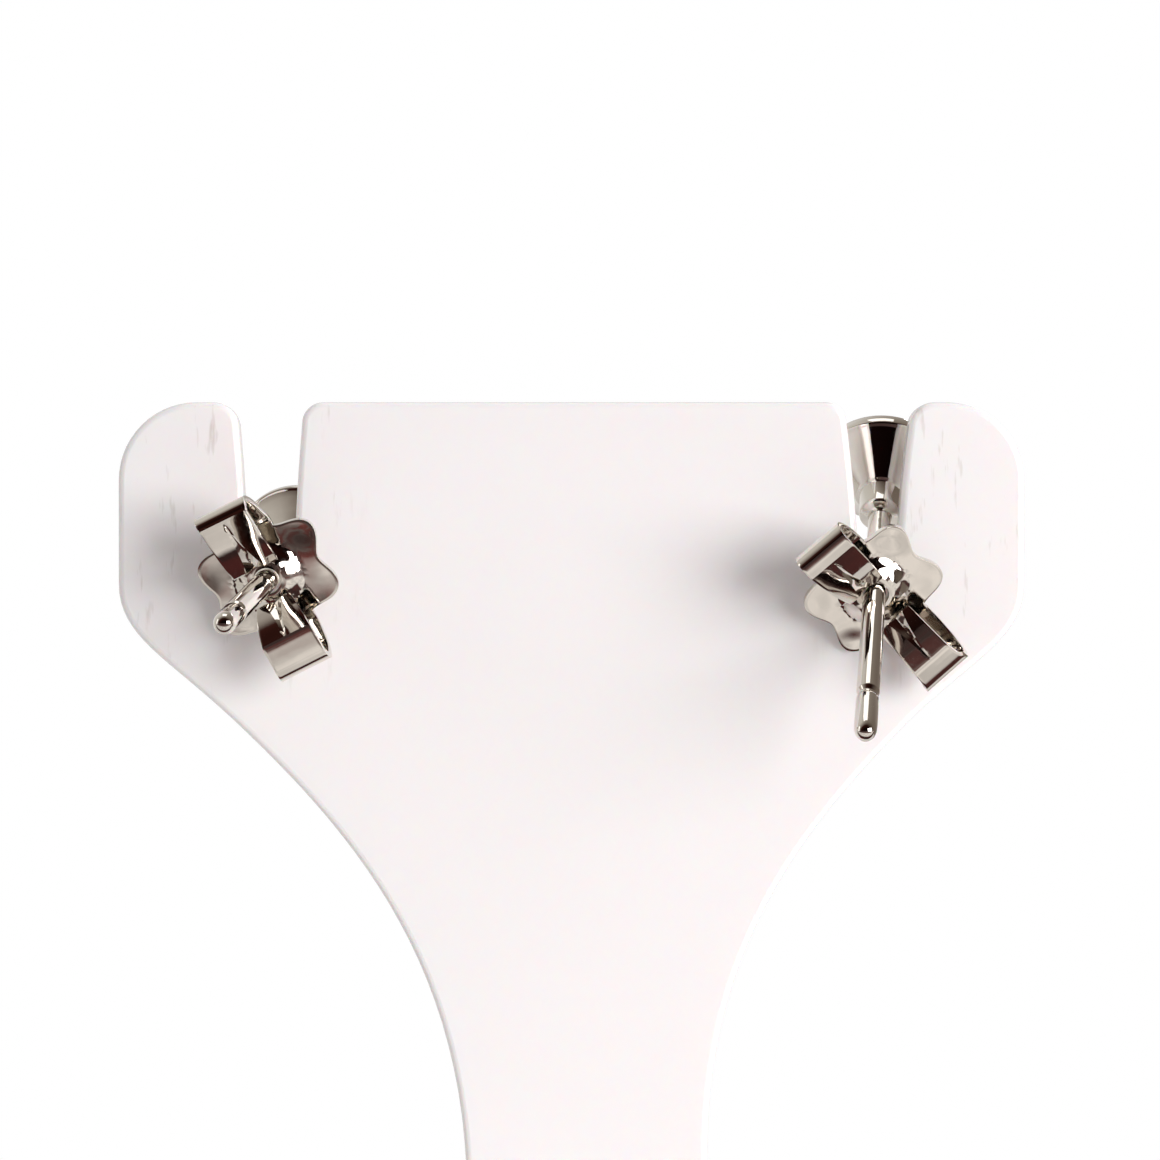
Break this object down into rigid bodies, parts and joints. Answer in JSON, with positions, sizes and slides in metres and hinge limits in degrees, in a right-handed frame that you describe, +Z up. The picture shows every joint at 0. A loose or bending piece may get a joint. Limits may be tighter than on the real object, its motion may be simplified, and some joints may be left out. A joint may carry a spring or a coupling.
{
  "type": "pair of diamond stud earrings on a display stand",
  "caption": "Bezel-set round brilliant studs with curled butterfly backs, hung by their posts in the slots of a small glossy white acrylic stand with a bent foot.",
  "frame": {"origin": "middle of the foot's flat underside", "axes": "+Z up from the foot to the panel's top edge, -Y the way the diamonds face, +X to the right of a viewer in front of them"},
  "size_m": [0.032, 0.0259, 0.039],
  "materials": {
    "acrylic": "polished milky white acrylic sheet",
    "white_gold": "mirror polished white gold",
    "diamond": "faceted and polished stone"
  },
  "bodies": {
    "stand": {"display_stand": "acrylic", "left_setting": "white_gold", "left_diamond": "diamond", "right_setting": "white_gold", "right_diamond": "diamond"},
    "left_back": {"left_butterfly_back": "white_gold"},
    "right_back": {"right_butterfly_back": "white_gold"}
  },
  "joints": [
    {"name": "left_back_slide", "type": "slide", "parent": "stand", "child": "left_back", "axis": [0.0959, 0.7486, -0.6561], "range_m": [0, 0.01]},
    {"name": "right_back_slide", "type": "slide", "parent": "stand", "child": "right_back", "axis": [0.1112, 0.9763, -0.1857], "range_m": [0, 0.01]}
  ]
}
